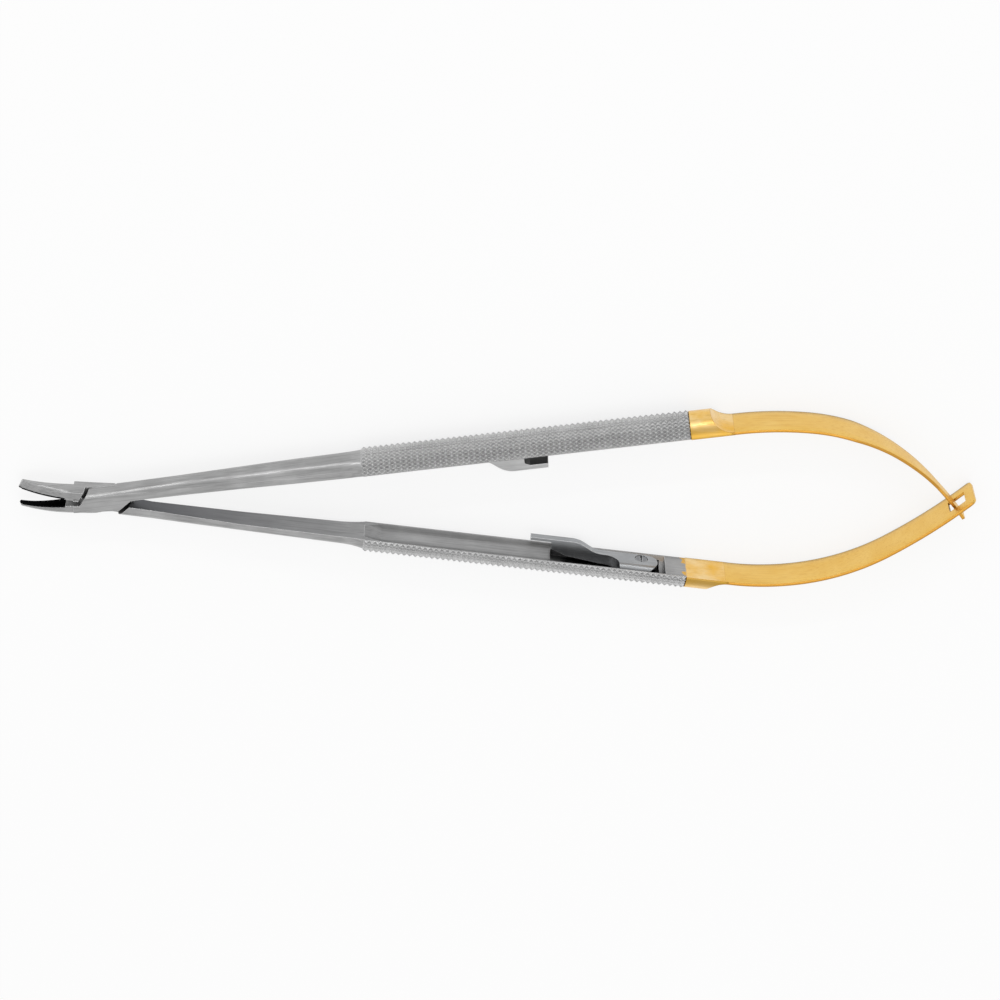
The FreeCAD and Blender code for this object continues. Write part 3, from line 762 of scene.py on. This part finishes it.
@dataclass(frozen=True)
class Studio:
    """White studio: pale floor, soft lamps and the photograph's camera."""

    floor_size_mm: float = 4000.0
    floor_colour: str = "#F7F7F7"
    white_share: float = 0.8          # how white the floor is seen, the rest keeps the shadow
    azimuth_deg: float = -0.62        # from +Y towards +X
    elevation_deg: float = 60.33
    roll_deg: float = -0.46
    distance_mm: float = 647.9
    focal_px: float = 3440.0
    frame_px: float = 1000.0
    sensor_mm: float = 36.0
    aim_mm: tuple[float, float, float] = (0.70, -0.12, 3.86)
    sky_strength: float = 0.8
    clip_m: tuple[float, float] = (0.01, 10.0)
    lamps: tuple[SoftLamp, ...] = (
        SoftLamp("strip", (-60.0, 560.0, 330.0), (700.0, 24.0), 0.55),   # draws the bright lines along the creases
        SoftLamp("top", (150.0, -160.0, 900.0), (500.0, 500.0), 1.0))

    def floor(self) -> None:
        """Lays the floor."""
        half = self.floor_size_mm * MM / 2.0
        mesh = bpy.data.meshes.new("floor")
        mesh.from_pydata([(-half, -half, 0.0), (half, -half, 0.0), (half, half, 0.0), (-half, half, 0.0)], [],
                         [(0, 1, 2, 3)])
        ground = bpy.data.objects.new("floor", mesh)
        bpy.context.scene.collection.objects.link(ground)
        material, tree = new_material("matte_paper")
        paper = add(tree, "ShaderNodeBsdfPrincipled", {"Base Color": linear(self.floor_colour), "Roughness": 0.95,
                                                       "Specular IOR Level": 0.0})
        white = add(tree, "ShaderNodeEmission", {"Color": linear("#FFFFFF"), "Strength": 1.0})
        path = add(tree, "ShaderNodeLightPath")
        seen = path.outputs["Is Camera Ray"]
        for kind in ("Is Glossy Ray", "Is Transmission Ray"):
            seen = add(tree, "ShaderNodeMath", {0: seen, 1: path.outputs[kind]}, operation="MAXIMUM").outputs["Value"]
        share = spread(tree, seen, (0.0, 1.0), (0.0, self.white_share))
        shown = add(tree, "ShaderNodeMixShader", {0: share, 1: paper.outputs["BSDF"], 2: white.outputs["Emission"]})
        add(tree, "ShaderNodeOutputMaterial", {"Surface": shown.outputs["Shader"]})
        mesh.materials.append(material)

    def sky(self) -> None:
        """Sets an even pale surrounding."""
        world = bpy.data.worlds.new("studio")
        world.use_nodes = True
        world.node_tree.nodes.clear()
        tree = world.node_tree
        back = add(tree, "ShaderNodeBackground", {"Color": linear("#FFFFFF"), "Strength": self.sky_strength})
        add(tree, "ShaderNodeOutputWorld", {"Surface": back.outputs["Background"]})
        bpy.context.scene.world = world

    def camera(self) -> None:
        """Sets the camera where the photograph was taken from."""
        azimuth, elevation, roll = (math.radians(angle) for angle in (self.azimuth_deg, self.elevation_deg,
                                                                     self.roll_deg))
        toward = Vector((math.sin(azimuth) * math.cos(elevation), math.cos(azimuth) * math.cos(elevation),
                         math.sin(elevation)))
        level = Vector((math.cos(azimuth), -math.sin(azimuth), 0.0))
        rise = toward.cross(level)
        right = level * math.cos(roll) + rise * math.sin(roll)
        upward = toward.cross(right)
        lens = bpy.data.cameras.new("photo_camera")
        lens.sensor_width = self.sensor_mm
        lens.lens = self.focal_px / self.frame_px * self.sensor_mm
        lens.clip_start, lens.clip_end = self.clip_m
        eye = bpy.data.objects.new("photo_camera", lens)
        turn = Matrix((right, upward, toward)).transposed()
        eye.matrix_world = Matrix.Translation((Vector(self.aim_mm) + toward * self.distance_mm) * MM) @ turn.to_4x4()
        bpy.context.scene.collection.objects.link(eye)
        bpy.context.scene.camera = eye

    def build(self) -> None:
        """Sets up the floor, the light and the camera."""
        self.floor()
        self.sky()
        for lamp in self.lamps:
            lamp.hang()
        self.camera()


def joint_place(joints: Sequence[dict[str, Any]], name: str) -> Vector:
    """Place of a joint.

    Args:
        joints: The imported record's joints.
        name: The joint's name.

    Returns:
        Its place in metres.
    """
    return Vector(next(joint["pos_m"] for joint in joints if joint["name"] == name))


def main() -> None:
    """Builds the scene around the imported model."""
    logging.basicConfig(level=logging.INFO, format="%(name)s: %(message)s")
    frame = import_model()
    scene = bpy.context.scene
    scene.view_settings.view_transform = "Standard"
    Studio().build()
    ForgedParts(frame["nodes"]).dress()
    gilt = GiltSteel("gilt_steel").build()
    TonguedLeaf(Side.UPPER, joint_place(frame["joints"], "upper_leaf_bend"), UPPER_LEAF_ARCS,
                "upper_leaf", "upper_handle", "upper_leaf_spring").build(gilt)
    WindowedLeaf(Side.LOWER, joint_place(frame["joints"], "lower_leaf_bend"), LOWER_LEAF_ARCS,
                 "lower_leaf", "lower_handle", "lower_leaf_spring").build(gilt)
    hard = HardMetal().build()
    for node in ("upper_jaw_insert", "lower_jaw_insert"):
        plate = frame["nodes"][node]
        plate.data.materials.clear()
        plate.data.materials.append(hard)
    LOG.info("size written")


if __name__ == "__main__":
    main()
